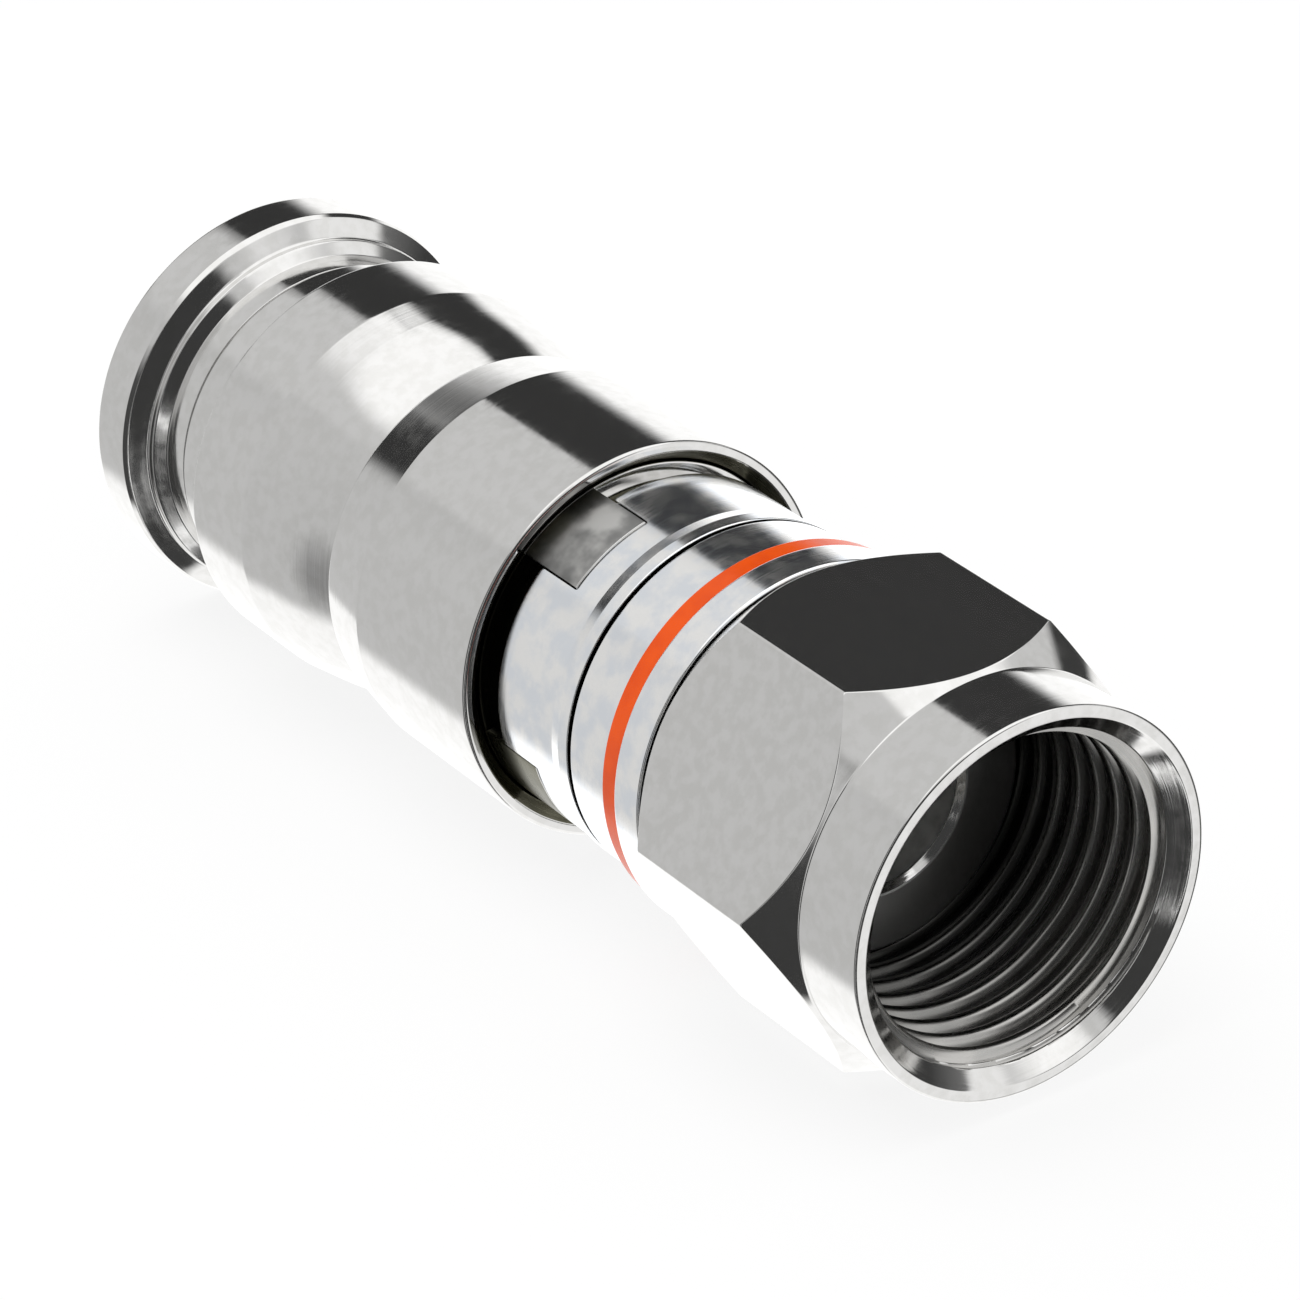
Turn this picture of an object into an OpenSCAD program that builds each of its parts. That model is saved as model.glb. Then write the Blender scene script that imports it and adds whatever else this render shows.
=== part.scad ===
// F-type coaxial compression connector, drawn lying on its side as it comes to rest.
// The axis is X: the coupling nut opens towards +X and the cable enters from -X.
// The origin is on the axis, in the plane of the post face where a jack seats.
// Stations along the axis are X values, so lengths towards the cable are subtracted.

/* [Coupling nut] */
// Width across the flats of the hexagon
hex_flats = 11.1; // [10.8:0.1:13]
// Radial step from a flat down to the round collar in front of it
collar_step = 0.09; // [0.05:0.01:0.3]
// Length of the round collar
collar_l = 2.35; // [1.6:0.05:3]
// Angle of the cones that trim the hexagon's corners, from the axis
hex_cone_angle = 38; // [25:1:60]
// Radial step from a flat down to the edge of the rear face
rear_step = 0.08; // [0.02:0.01:0.3]
// How far the mouth stands in front of the post face
nut_reach = 6.05; // [5.4:0.05:8]
// Wall of the thin lip around the mouth
mouth_wall = 0.33; // [0.2:0.01:0.5]
// Angle of the cone that leads from the mouth into the thread, from the axis
lead_angle = 45; // [35:1:60]
// Minor diameter of the thread, its crests inside the nut
thread_minor_d = 8.7; // [8.5:0.05:9]
// Major diameter of the thread, its roots inside the nut
thread_major_d = 9.525; // [9.3:0.025:9.7]
// Radial room of the run-out groove beyond the thread's roots
runout_clear = 0.04; // [0.02:0.01:0.15]
// Thickness of the inner lip that holds the nut on the post
lip_t = 0.8; // [0.5:0.05:1.2]
// End play of the nut behind the post flange
nut_play = 0.1; // [0.05:0.05:0.5]
// Gap between the nut and the front body
nut_gap = 0.1; // [0.05:0.05:0.5]

/* [Post] */
// Thickness of the post flange
flange_t = 1.4; // [1:0.1:2]
// Radial room between the flange and the thread's crests
flange_clear = 0.1; // [0.05:0.01:0.4]
// Diameter of the neck that carries the nut and the front body
neck_d = 6.76; // [6.3:0.02:7]
// Radial running room of the nut's lip on the neck
lip_clear = 0.07; // [0.04:0.01:0.15]
// Diameter of the bore that takes the cable's dielectric
post_bore_d = 4.8; // [4.2:0.1:5]
// Wall of the tube that slides under the cable's braid
tube_wall = 0.4; // [0.25:0.05:0.5]
// Length of the post from its face to the end of the tube
post_l = 20; // [18:0.5:22]
// Length of the barb at the end of the tube
barb_l = 2; // [1:0.1:3]
// Height of the barb above the tube
barb_h = 0.4; // [0.1:0.05:0.5]
// Axial length of the barb's steep front
barb_rise_l = 0.2; // [0.1:0.05:0.4]
// Wall left at the tip of the tube
tip_wall = 0.2; // [0.1:0.05:0.25]
// Chamfer around the bore in the post face
post_rim = 0.2; // [0.05:0.05:0.4]

/* [Nut seal] */
// Thickness of the sealing ring's cord
seal_cord = 0.84; // [0.6:0.02:1]
// Room on each side of the sealing ring
seal_clear = 0.055; // [0.03:0.005:0.1]
// Radial room around the outside of the sealing ring
seal_room = 0.48; // [0.2:0.02:0.6]

/* [Front body] */
// Thickness of the web that grips the post neck
web_t = 3.35; // [2.4:0.05:3.5]
// Length of the larger ring at the front
ring_l = 1.08; // [0.6:0.02:1.6]
// Radial step from the land up to the front ring
ring_rise = 0.35; // [0.1:0.01:0.6]
// Length from the front face to the thin turned line
land_l = 3.6; // [3.3:0.05:4.5]
// Radial step from the skirt up to the land
land_step = 0.07; // [0.02:0.01:0.15]
// Wall of the skirt around the inner barrel
skirt_wall = 0.44; // [0.35:0.01:0.7]
// Width of the thin turned line behind the land
mark_w = 0.15; // [0.1:0.01:0.3]
// Depth of the thin turned line
mark_depth = 0.2; // [0.05:0.01:0.25]
// Length of the narrow land behind the turned line
rest_l = 0.42; // [0.2:0.02:0.6]
// Length of the taper from the narrow land down to the skirt
strip_l = 0.4; // [0.2:0.02:0.6]
// Room of the post neck in the web
press_clear = 0.01; // [0.005:0.005:0.03]

/* [Colour band] */
// Width of the band
band_w = 0.68; // [0.4:0.02:1]
// How far the band stands above the land
band_rise = 0.25; // [0.1:0.01:0.5]
// Room between the band, the land and the front ring
band_clear = 0.02; // [0.01:0.01:0.05]

/* [Inner barrel] */
// Outside diameter of the barrel
barrel_d = 9.2; // [9:0.1:10]
// Wall of the barrel
barrel_wall = 0.7; // [0.4:0.05:0.9]
// Room of the barrel in the front body
seat_clear = 0.04; // [0.02:0.01:0.1]
// Gap between the barrel's end and the web
seat_gap = 0.05; // [0.02:0.01:0.2]
// Angle that one lug spans
lug_span = 29.5; // [15:0.5:50]
// Angle from straight up to the middle of the first lug
lug_turn = 29.4; // [0:0.1:90]
// Number of lugs
lug_count = 4; // [2:1:6]
// How far a lug reaches into its notch
lug_reach = 1.57; // [0.8:0.01:2]
// Room around a lug in its notch
lug_clear = 0.03; // [0.02:0.01:0.15]
// Gap between the skirt and the raised shelf behind it
shelf_gap = 0.1; // [0.05:0.01:0.3]
// Length of the raised shelf
shelf_l = 0.74; // [0.4:0.02:1.2]
// Height of the raised shelf above the barrel
shelf_rise = 0.2; // [0.1:0.01:0.35]
// Length of the collar that joins the lugs
guide_l = 1.36; // [0.8:0.02:2]

/* [Compression sleeve] */
// Travel of the sleeve when it is pressed home
travel = 3.5; // [2.5:0.1:4.5]
// Gap between the skirt and the sleeve's rim before pressing
rim_gap = 0.55; // [0.2:0.01:1]
// Room left between the pressed sleeve and the turned line
stop_room = 0.45; // [0.3:0.01:1]
// Radial sliding room of the sleeve on the skirt, the lugs and the barrel
slide_clear = 0.06; // [0.03:0.01:0.12]
// Wall of the front section
sleeve_wall = 0.62; // [0.5:0.01:1]
// Length of the front section
front_l = 5.33; // [4:0.01:7]
// Length of the shoulder that slopes down behind the front section
shoulder_l = 1.94; // [0.8:0.02:2.5]
// Radial drop along the shoulder
shoulder_drop = 0.3; // [0.05:0.01:0.4]
// Radial drop of the step behind the shoulder
step_drop = 0.3; // [0.1:0.01:0.4]
// Length of the steeper cone behind the step
steep_l = 1.95; // [1:0.05:3]
// Radial rise of the steeper cone
steep_rise = 0.44; // [0.2:0.01:0.6]
// Length of the gentler cone up to the crest
gentle_l = 1.92; // [1:0.02:3]
// Radial rise of the gentler cone
gentle_rise = 0.27; // [0.1:0.01:0.4]
// Length of the straight part behind the crest
crest_l = 2.64; // [1.5:0.02:4]
// Radial drop behind the straight part
crest_drop = 0.77; // [0.4:0.01:0.9]
// Length of the tail from that drop to the turned seam line
tail_l = 1.8; // [1:0.05:3]
// Width of the turned seam line
seam_w = 0.12; // [0.05:0.01:0.2]
// Depth of the turned seam line
seam_depth = 0.14; // [0.1:0.01:0.18]
// Length of the waist between the seam line and the flange
waist_l = 0.88; // [0.4:0.02:2]
// Radial drop from the tail to the waist
waist_drop = 0.08; // [0.02:0.01:0.12]
// Length of the steep face up to the ledge
ridge_l = 0.27; // [0.1:0.01:0.5]
// Radial rise of the steep face up to the ledge
ridge_rise = 0.34; // [0.2:0.01:0.6]
// Length of the ledge in front of the flange
ledge_l = 0.2; // [0.1:0.01:0.5]
// Length of the steep face from the ledge to the flange
riser_l = 0.36; // [0.2:0.01:0.6]
// Radial rise of the steep face from the ledge to the flange
riser_rise = 0.5; // [0.2:0.01:0.7]
// Length of the chamfer on the flange's front edge
flange_edge_l = 0.16; // [0.05:0.01:0.3]
// Radial rise of the chamfer on the flange's front edge
flange_edge_rise = 0.07; // [0.05:0.01:0.3]
// Width of the flange's rim
flange_rim_l = 1.4; // [0.5:0.02:1.8]
// Chamfer inside the sleeve's rim
rim_chamfer = 0.4; // [0.2:0.02:0.42]
// Length of the cone between the two bores of the sleeve
bore_cone_l = 0.5; // [0.2:0.05:1]
// Room behind the collar when the sleeve is pressed home
guide_room = 0.3; // [0.1:0.05:1]
// Diameter of the hole for the cable's jacket
cable_d = 8; // [7:0.1:8.4]
// Chamfer around the hole for the cable
cable_lead = 0.3; // [0.1:0.05:0.5]
// Thickness of the end wall around the hole for the cable
end_wall = 2.92; // [2.4:0.02:3.4]

/* [Grip ring] */
// Length of the grip ring
grip_l = 3.7; // [2:0.1:5]
// Wall of the grip ring
grip_wall = 0.82; // [0.4:0.02:1]
// Room between the grip ring and the sleeve
grip_clear = 0.04; // [0.02:0.01:0.1]
// Gap between the grip ring and the end wall
grip_gap = 0.1; // [0.02:0.02:0.3]
// Room between the grip ring and the barrel when the sleeve is pressed home
grip_room = 1.2; // [0.3:0.1:2]
// Length of the ramp inside the grip ring
grip_ramp_l = 1; // [0.4:0.1:1.8]
// Radial rise of the ramp inside the grip ring
grip_ramp = 0.4; // [0.1:0.02:0.4]

/* [Edges] */
// Small chamfer on turned outer edges
edge = 0.08; // [0.02:0.01:0.15]

/* [Hidden] */
$fn = 96;
nickel = [0.72, 0.70, 0.66];
bright_tin = [0.68, 0.68, 0.68];
zinc = [0.80, 0.82, 0.85];
orange = [0.85, 0.27, 0.05];
black_rubber = [0.05, 0.05, 0.05];
natural_plastic = [0.86, 0.84, 0.78];

// Extra length by which a cutting shape passes the face it cuts
over = 0.5;

// Stations of the nut, the seal and the front body
lip_front = -(flange_t + nut_play);
lip_rear = lip_front - lip_t;
body_front = lip_rear - seal_cord - 2 * seal_clear;
nut_rear = body_front + nut_gap;
web_rear = body_front - web_t;
ring_rear = body_front - ring_l;
band_front = ring_rear - band_clear;
land_end = body_front - land_l;
mark_rear = land_end - mark_w;
rest_rear = mark_rear - rest_l;
strip_rear = rest_rear - strip_l;
skirt_end = mark_rear - (travel - rim_gap + stop_room);

// Stations of the lugs, the collar and the sleeve
lug_front = skirt_end + lug_reach;
shelf_front = skirt_end - shelf_gap;
guide_front = shelf_front - shelf_l;
guide_rear = guide_front - guide_l;
rim = skirt_end - rim_gap;
shoulder = rim - front_l;
step = shoulder - shoulder_l;
cone_break = step - steep_l;
crest = cone_break - gentle_l;
crest_end = crest - crest_l;
seam = crest_end - tail_l;
waist = seam - seam_w;
waist_end = waist - waist_l;
ledge = waist_end - ridge_l;
ledge_end = ledge - ledge_l;
riser_end = ledge_end - riser_l;
flange_front = riser_end - flange_edge_l;
rear_face = flange_front - flange_rim_l;
front_bore_end = guide_rear - travel - guide_room;
end_wall_face = rear_face + end_wall;
grip_rear = end_wall_face + grip_gap;
grip_front = grip_rear + grip_l;
barrel_rear = grip_front + travel + grip_room;

// Radii of the nut and the post
flat_r = hex_flats / 2;
corner_r = flat_r / cos(30);
collar_r = flat_r - collar_step;
mouth_r = collar_r - mouth_wall;
thread_r = thread_minor_d / 2;
runout_r = thread_major_d / 2 + runout_clear;
neck_r = neck_d / 2;
lip_r = neck_r + lip_clear;
flange_r = thread_r - flange_clear;
post_bore_r = post_bore_d / 2;
tube_r = post_bore_r + tube_wall;
barb_r = tube_r + barb_h;
seal_mid_r = neck_r + seal_clear + seal_cord / 2;
recess_r = seal_mid_r + seal_cord / 2 + seal_room;

// Radii of the body, the barrel and the sleeve
barrel_r = barrel_d / 2;
barrel_bore_r = barrel_r - barrel_wall;
seat_r = barrel_r + seat_clear;
skirt_r = seat_r + skirt_wall;
land_r = skirt_r + land_step;
ring_r = land_r + ring_rise;
front_bore_r = skirt_r + slide_clear;
rear_bore_r = barrel_r + slide_clear;
sleeve_r = front_bore_r + sleeve_wall;
shelf_r = barrel_r + shelf_rise;
shoulder_r = sleeve_r - shoulder_drop;
step_r = shoulder_r - step_drop;
cone_break_r = step_r + steep_rise;
crest_r = cone_break_r + gentle_rise;
tail_r = crest_r - crest_drop;
seam_r = tail_r - seam_depth;
waist_r = tail_r - waist_drop;
ledge_r = waist_r + ridge_rise;
riser_r = ledge_r + riser_rise;
rear_flange_r = riser_r + flange_edge_rise;
cable_r = cable_d / 2;
grip_r = rear_bore_r - grip_clear;
grip_bore_r = grip_r - grip_wall;

// Half angle of a lug, and of the notch that gives it room
lug_half = lug_span / 2;
notch_half = lug_half + asin(lug_clear / skirt_r);

// A turned solid about the X axis, from a profile of [radius, station] points
module turned(profile) {
    rotate([0, 90, 0])
        rotate_extrude()
            polygon(profile);
}

// A block between two radii and two stations that spans an angle to each side of straight up
module sector(inner, outer, rear, front, half) {
    rotate([0, 90, 0])
        rotate([0, 0, 180 - half])
            rotate_extrude(angle = 2 * half)
                polygon([[inner, rear], [outer, rear], [outer, front], [inner, front]]);
}

// Copies of the children at each lug's angle about the axis
module at_each_lug() {
    for (k = [0 : lug_count - 1])
        rotate([lug_turn + k * 360 / lug_count, 0, 0])
            children();
}

// Hexagon and collar of the nut, before it is bored
module nut_blank() {
    full_r = corner_r + over;
    slope = tan(hex_cone_angle);
    rear_r = flat_r - rear_step;
    cone_start = nut_reach - collar_l;
    intersection() {
        translate([nut_rear, 0, 0])
            rotate([0, 90, 0])
                linear_extrude(height = nut_reach - nut_rear)
                    rotate(30)
                        circle(r = corner_r, $fn = 6);
        turned([
            [0, nut_reach],
            [collar_r - edge, nut_reach],
            [collar_r, nut_reach - edge],
            [collar_r, cone_start],
            [full_r, cone_start - (full_r - collar_r) / slope],
            [full_r, nut_rear + (full_r - rear_r) / slope],
            [rear_r, nut_rear],
            [0, nut_rear]
        ]);
    }
}

// Hexagonal nut that turns freely on the post and pulls the jack against the post face
module coupling_nut() {
    slope = tan(lead_angle);
    color(nickel)
        difference() {
            nut_blank();
            turned([
                [0, nut_reach + over],
                [mouth_r + over * slope, nut_reach + over],
                [thread_r, nut_reach - (mouth_r - thread_r) / slope],
                [thread_r, 0],
                [runout_r, 0],
                [runout_r, lip_front],
                [lip_r, lip_front],
                [lip_r, lip_rear],
                [recess_r, lip_rear],
                [recess_r, nut_rear - over],
                [0, nut_rear - over]
            ]);
        }
}

// Flanged tube: its face meets the jack and its barbed tail goes under the cable's braid
module post() {
    color(bright_tin)
        turned([
            [post_bore_r + post_rim, 0],
            [flange_r - edge, 0],
            [flange_r, -edge],
            [flange_r, -flange_t],
            [neck_r, -flange_t],
            [neck_r, web_rear],
            [tube_r, web_rear],
            [tube_r, barb_l - post_l],
            [barb_r, barb_l - post_l - barb_rise_l],
            [post_bore_r + tip_wall, -post_l],
            [post_bore_r, -post_l],
            [post_bore_r, -post_rim]
        ]);
}

// Rubber ring between the nut and the front body
module nut_seal() {
    color(black_rubber)
        rotate([0, 90, 0])
            rotate_extrude()
                translate([seal_mid_r, body_front + seal_clear + seal_cord / 2])
                    circle(d = seal_cord);
}

// Turned ring on the post neck, with a notched skirt that holds the inner barrel
module front_body() {
    color(zinc)
        difference() {
            turned([
                [neck_r + press_clear, body_front],
                [ring_r - edge, body_front],
                [ring_r, body_front - edge],
                [ring_r, ring_rear],
                [land_r, ring_rear],
                [land_r, land_end],
                [land_r - mark_depth, land_end],
                [land_r - mark_depth, mark_rear],
                [land_r, mark_rear],
                [land_r, rest_rear],
                [skirt_r, strip_rear],
                [skirt_r, skirt_end],
                [seat_r, skirt_end],
                [seat_r, web_rear],
                [neck_r + press_clear, web_rear]
            ]);
            at_each_lug()
                sector(barrel_bore_r, skirt_r + over, skirt_end - over, lug_front + lug_clear, notch_half);
        }
}

// Coloured ring that sits on the land, against the front ring
module colour_band() {
    color(orange)
        turned([
            [land_r + band_clear, band_front],
            [land_r + band_rise, band_front],
            [land_r + band_rise, band_front - band_w],
            [land_r + band_clear, band_front - band_w]
        ]);
}

// Plated tube with a collar that guides the sleeve, keyed to the front body by its lugs
module inner_barrel() {
    barrel_front = web_rear - seat_gap;
    color(nickel)
        union() {
            turned([
                [barrel_bore_r, barrel_front],
                [barrel_r, barrel_front],
                [barrel_r, shelf_front],
                [shelf_r, shelf_front],
                [shelf_r, guide_front],
                [skirt_r, guide_front],
                [skirt_r, guide_rear],
                [barrel_r, guide_rear],
                [barrel_r, barrel_rear],
                [barrel_bore_r, barrel_rear]
            ]);
            at_each_lug()
                sector(barrel_bore_r, skirt_r, guide_front, lug_front, lug_half);
        }
}

// Sleeve that is pressed towards the nut to grip the cable
module compression_sleeve() {
    color(nickel)
        turned([
            [front_bore_r + rim_chamfer, rim],
            [sleeve_r - edge, rim],
            [sleeve_r, rim - edge],
            [sleeve_r, shoulder],
            [shoulder_r, step],
            [step_r, step],
            [cone_break_r, cone_break],
            [crest_r, crest],
            [crest_r, crest_end],
            [tail_r, crest_end],
            [tail_r, seam],
            [seam_r, seam],
            [seam_r, waist],
            [waist_r, waist],
            [waist_r, waist_end],
            [ledge_r, ledge],
            [ledge_r, ledge_end],
            [riser_r, riser_end],
            [rear_flange_r, flange_front],
            [rear_flange_r, rear_face + edge],
            [rear_flange_r - edge, rear_face],
            [cable_r + cable_lead, rear_face],
            [cable_r, rear_face + cable_lead],
            [cable_r, end_wall_face],
            [rear_bore_r, end_wall_face],
            [rear_bore_r, front_bore_end - bore_cone_l],
            [front_bore_r, front_bore_end],
            [front_bore_r, rim - rim_chamfer]
        ]);
}

// Plastic ring that rides in the sleeve and squeezes the cable's jacket onto the post
module grip_ring() {
    color(natural_plastic)
        turned([
            [grip_bore_r + grip_ramp, grip_front],
            [grip_r, grip_front],
            [grip_r, grip_rear],
            [grip_bore_r, grip_rear],
            [grip_bore_r, grip_front - grip_ramp_l]
        ]);
}

coupling_nut();
post();
nut_seal();
front_body();
colour_band();
inner_barrel();
compression_sleeve();
grip_ring();
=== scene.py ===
"""Finished surfaces, materials and studio of a coaxial compression connector.

Every piece of this connector is a ring about the X axis. Each is worked out as one closed grid, an outline
carried once around the axis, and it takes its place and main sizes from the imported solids.
Stations and radii are in millimetres until a mesh is written. An angle about the axis is counted from
straight up (+Z) towards -Y, which is a right-handed turn about +X.
"""

import logging
import math
from dataclasses import dataclass
from enum import Enum
from typing import ClassVar, NamedTuple

import bpy
import numpy as np
from mathutils import Matrix, Vector
from numpy.typing import NDArray

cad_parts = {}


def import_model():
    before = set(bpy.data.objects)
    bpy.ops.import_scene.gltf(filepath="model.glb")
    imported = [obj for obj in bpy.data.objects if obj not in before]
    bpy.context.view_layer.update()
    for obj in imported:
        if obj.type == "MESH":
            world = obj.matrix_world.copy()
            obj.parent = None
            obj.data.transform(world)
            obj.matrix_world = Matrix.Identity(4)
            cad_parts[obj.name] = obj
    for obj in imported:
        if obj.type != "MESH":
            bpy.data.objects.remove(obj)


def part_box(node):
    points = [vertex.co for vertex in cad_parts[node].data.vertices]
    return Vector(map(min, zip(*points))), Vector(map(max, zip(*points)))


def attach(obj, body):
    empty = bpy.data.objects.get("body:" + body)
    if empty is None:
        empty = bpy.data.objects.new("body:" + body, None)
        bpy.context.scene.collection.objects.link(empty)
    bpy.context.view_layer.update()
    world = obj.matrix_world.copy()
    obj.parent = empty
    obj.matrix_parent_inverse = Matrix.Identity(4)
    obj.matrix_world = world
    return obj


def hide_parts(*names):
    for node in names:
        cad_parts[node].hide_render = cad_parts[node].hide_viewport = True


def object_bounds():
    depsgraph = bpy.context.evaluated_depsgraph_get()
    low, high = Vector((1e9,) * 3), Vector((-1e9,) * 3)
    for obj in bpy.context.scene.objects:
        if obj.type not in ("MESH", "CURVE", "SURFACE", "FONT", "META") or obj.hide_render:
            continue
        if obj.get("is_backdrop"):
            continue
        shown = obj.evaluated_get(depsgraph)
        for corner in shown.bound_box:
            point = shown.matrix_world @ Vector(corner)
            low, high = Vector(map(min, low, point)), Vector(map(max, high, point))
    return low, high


Array = NDArray[np.float64]
Flags = NDArray[np.bool_]
Marks = NDArray[np.int32]
Socket = bpy.types.NodeSocket
Colour = tuple[float, float, float, float]
Place = tuple[float, float, float]
Curve = tuple[tuple[float, float], ...]
LOG = logging.getLogger("connector")
MM = 0.001
FULL_TURN = 2.0 * math.pi
FULL_CIRCLE = 360.0
ARC_STEPS = 4
ROWS_PER_CORNER = ARC_STEPS + 3
SHARP_ANGLE = math.radians(50.0)
LUG_COUNT = 4
LUG_PERIOD = FULL_CIRCLE / LUG_COUNT
LUG_TURN = 29.4
WHITE: Colour = (1.0, 1.0, 1.0, 1.0)


class Rider(Enum):
    """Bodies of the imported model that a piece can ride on."""

    BODY = "body"
    NUT = "nut"
    SLEEVE = "sleeve"


class Slot(Enum):
    """Material slots of the record."""

    NICKEL = "nickel_plate"
    TIN = "tin_plate"
    ZINC = "zinc_plate"
    BAND = "orange_band"
    RUBBER = "black_rubber"
    PLASTIC = "natural_plastic"


class Lay(Enum):
    """Direction of the fine tool lines in a metal surface."""

    TURNED = "around the axis"
    DRAWN = "along the axis"


class Span(NamedTuple):
    """Where a solid lies along the axis and how far it reaches from it, in millimetres."""

    front: float
    rear: float
    reach: float


def span_of(node: str) -> Span:
    """Reads a solid's place from the frame.

    Args:
        node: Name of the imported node.

    Returns:
        Its front and rear stations and its reach straight up from the axis.
    """
    low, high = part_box(node)
    return Span(front=high.x / MM, rear=low.x / MM, reach=high.z / MM)


def rounded(corners: Array) -> Array:
    """Rounds every corner of a closed outline with an arc that meets both of its edges.

    For a corner P with unit vectors a and b along its edges and half the angle between them h, the arc has
    radius q, starts q / tan(h) along each edge, and has its centre q / sin(h) along the middle of a and b.
    Points on it are blended from its two end directions by the sine rule. One more point on each edge, a
    little before and after the arc, keeps the shading of the long faces flat.

    Args:
        corners: Radius, station and rounding of each corner, of shape (corners, columns, 3).

    Returns:
        Radius and station of each point, of shape (corners * ROWS_PER_CORNER, columns, 2).
    """
    least_rounding, arc_share, hold, hold_share, straight = 1e-4, 0.4, 0.03, 0.1, 0.999999
    place, rounding = corners[..., :2], corners[..., 2]
    edges = np.stack([np.roll(place, 1, axis=0), np.roll(place, -1, axis=0)]) - place
    length = np.linalg.norm(edges, axis=-1)
    sides = edges / length[..., None]
    a, b = sides
    half = np.arccos(np.clip(np.sum(a * b, axis=-1), -straight, straight)) / 2.0
    longest = arc_share * length.min(axis=0)
    tangent = np.minimum(np.maximum(rounding, least_rounding) / np.tan(half), longest)
    arc_radius = tangent * np.tan(half)
    middle = (a + b) / np.linalg.norm(a + b, axis=-1)[..., None]
    centre = place + middle * (arc_radius / np.sin(half))[..., None]
    start, end = (place + sides * tangent[..., None] - centre) / arc_radius[..., None]
    sweep = math.pi - 2.0 * half
    share = np.linspace(0.0, 1.0, ARC_STEPS + 1)[:, None, None]
    weight_a = np.sin((1.0 - share) * sweep) / np.sin(sweep)
    weight_b = np.sin(share * sweep) / np.sin(sweep)
    arc = centre + arc_radius[..., None] * (weight_a[..., None] * start + weight_b[..., None] * end)
    before, after = place + sides * (tangent + np.minimum(hold, hold_share * length))[..., None]
    rows = np.concatenate([before[None], arc, after[None]])
    return np.swapaxes(rows, 0, 1).reshape(-1, place.shape[1], 2)


def face_row(corner: int, step: int) -> int:
    """Row of faces at a step of a rounded corner, whose arc has the steps 1 to ARC_STEPS."""
    return corner * ROWS_PER_CORNER + step


def turned_corners(*corners: tuple[float | Array, float | Array, float], columns: int = 1) -> Array:
    """Lays out the corners of a turned outline.

    Args:
        corners: Radius, station and rounding of each corner in order around the section. A radius or a
            station is one number for the whole ring, or one for each column.
        columns: Number of columns around the axis.

    Returns:
        An array of shape (corners, columns, 3).
    """
    spread = [[np.broadcast_to(value, columns) for value in corner] for corner in corners]
    return np.swapaxes(np.array(spread, dtype=float), 1, 2)


def even_angles(count: int) -> Array:
    """Angles of columns that are spaced evenly around the axis."""
    return np.arange(count) * FULL_TURN / count


def around_lugs(angle: Array, value: Array) -> tuple[Array, Array]:
    """Mirrors the columns of half a lug and repeats them at every lug.

    Args:
        angle: Angles from the middle of a lug to the middle of the gap beside it, in degrees.
        value: A value at each of these angles.

    Returns:
        The angle of each column around the axis in radians, and its value.
    """
    both_sides = np.concatenate([-angle[:0:-1], angle[:-1]])
    both_values = np.concatenate([value[:0:-1], value[:-1]])
    turns = LUG_TURN + np.arange(LUG_COUNT)[:, None] * LUG_PERIOD
    return np.radians(both_sides[None, :] + turns).reshape(-1), np.tile(both_values, LUG_COUNT)


def add_object(name: str, data: bpy.types.ID) -> bpy.types.Object:
    """Adds an object to the scene and returns it."""
    added = bpy.data.objects.new(name, data)
    bpy.context.scene.collection.objects.link(added)
    return added


def place_piece(piece: bpy.types.Object, node: str, rider: Rider) -> None:
    """Lets a finished piece stand for its solid and move with its body.

    Args:
        piece: The finished piece.
        node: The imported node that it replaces.
        rider: The body that carries it.
    """
    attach(piece, rider.value)
    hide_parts(node)
    LOG.info("%s: %d faces, rides on %s", piece.name, len(piece.data.polygons), rider.value)


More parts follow.
